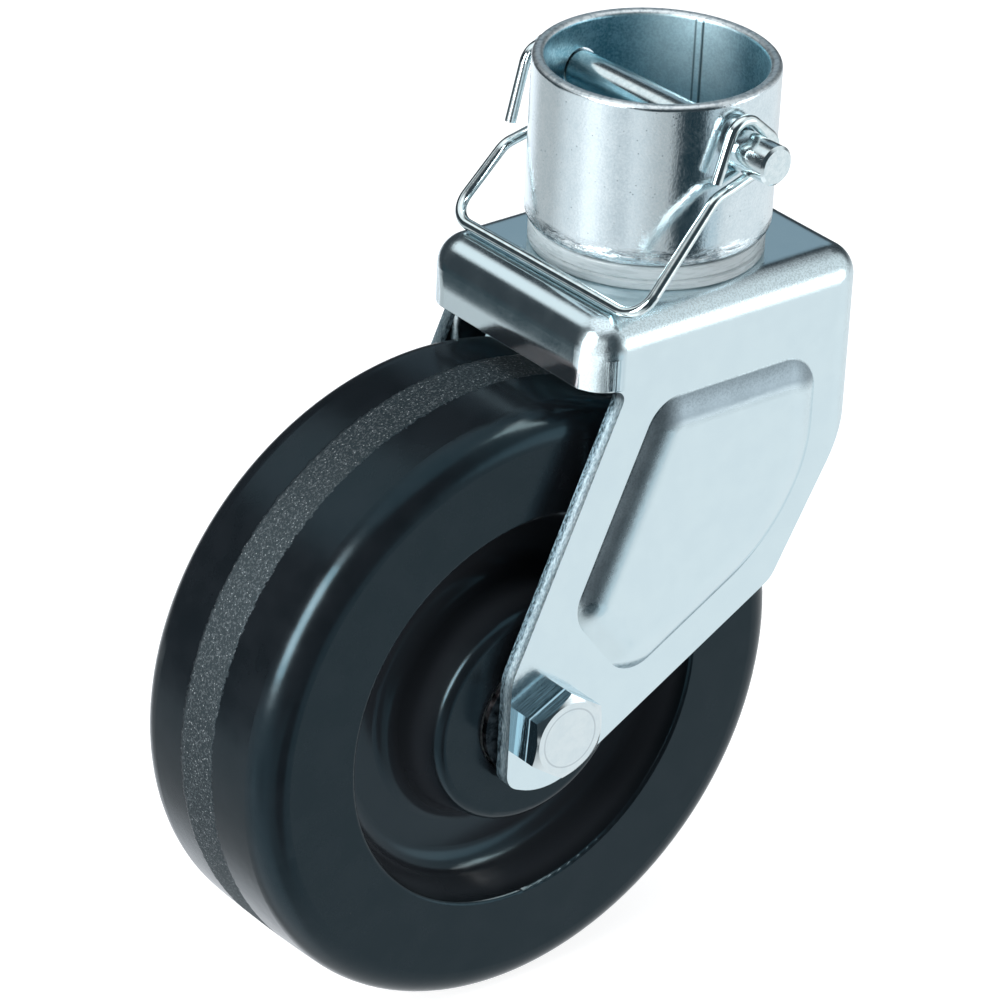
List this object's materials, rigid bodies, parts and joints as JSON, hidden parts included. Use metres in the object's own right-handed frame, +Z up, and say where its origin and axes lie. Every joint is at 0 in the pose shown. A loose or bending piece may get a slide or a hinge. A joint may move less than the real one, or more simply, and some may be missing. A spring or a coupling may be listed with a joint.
{
  "type": "caster",
  "caption": "Swivel caster for a trailer jack: moulded black wheel in a pressed steel fork with raised leg panels, under an open tube socket with a pull pin and a wire bail.",
  "frame": {"origin": "on the swivel axis, in the plane of the socket's inner seat where the end of the jack tube stands", "axes": "+Z up along the swivel axis, out of the socket's mouth; X along the travel, with the axle trailing at -X; Y along the axle, with the bolt head at -Y"},
  "size_m": [0.1655, 0.0912, 0.2195],
  "materials": {
    "zinc_plated_sheet": "bright zinc plate on pressed sheet",
    "zinc_plated_tube": "bright zinc plate on drawn tube, softly grained",
    "zinc_plated_fastener": "bright zinc plate",
    "pin_steel": "bright zinc plate, polished",
    "spring_wire": "bright plated spring wire",
    "bearing_steel": "ground steel, greased",
    "natural_nylon": "translucent natural nylon",
    "locking_nylon": "white nylon",
    "black_phenolic": "moulded black phenolic, semi-gloss"
  },
  "bodies": {
    "socket": {"socket_tube": "zinc_plated_tube", "retaining_washer": "zinc_plated_fastener"},
    "fork": {"yoke": "zinc_plated_sheet", "upper_bearing_ring": "natural_nylon", "lower_bearing_ring": "natural_nylon", "axle_sleeve": "bearing_steel", "thrust_washers": "zinc_plated_fastener", "axle_bolt": "zinc_plated_fastener", "axle_nut": "zinc_plated_fastener", "nut_insert": "locking_nylon"},
    "wheel": {"wheel": "black_phenolic", "bearing_rollers": "bearing_steel", "bearing_cage": "natural_nylon"},
    "pin_and_bail": {"pull_pin": "pin_steel", "wire_bail": "spring_wire"}
  },
  "joints": [
    {"name": "swivel", "type": "hinge", "parent": "socket", "child": "fork", "pos_m": [0, 0, 0], "axis": [0, 0, 1], "continuous": true},
    {"name": "wheel_spin", "type": "hinge", "parent": "fork", "child": "wheel", "pos_m": [-0.0486, 0, -0.1065], "axis": [0, 1, 0], "continuous": true},
    {"name": "bail_swing", "type": "hinge", "parent": "socket", "child": "pin_and_bail", "pos_m": [0, 0, 0.02466], "axis": [-0.0499, 0.9988, 0], "range_deg": [0, 267]}
  ]
}
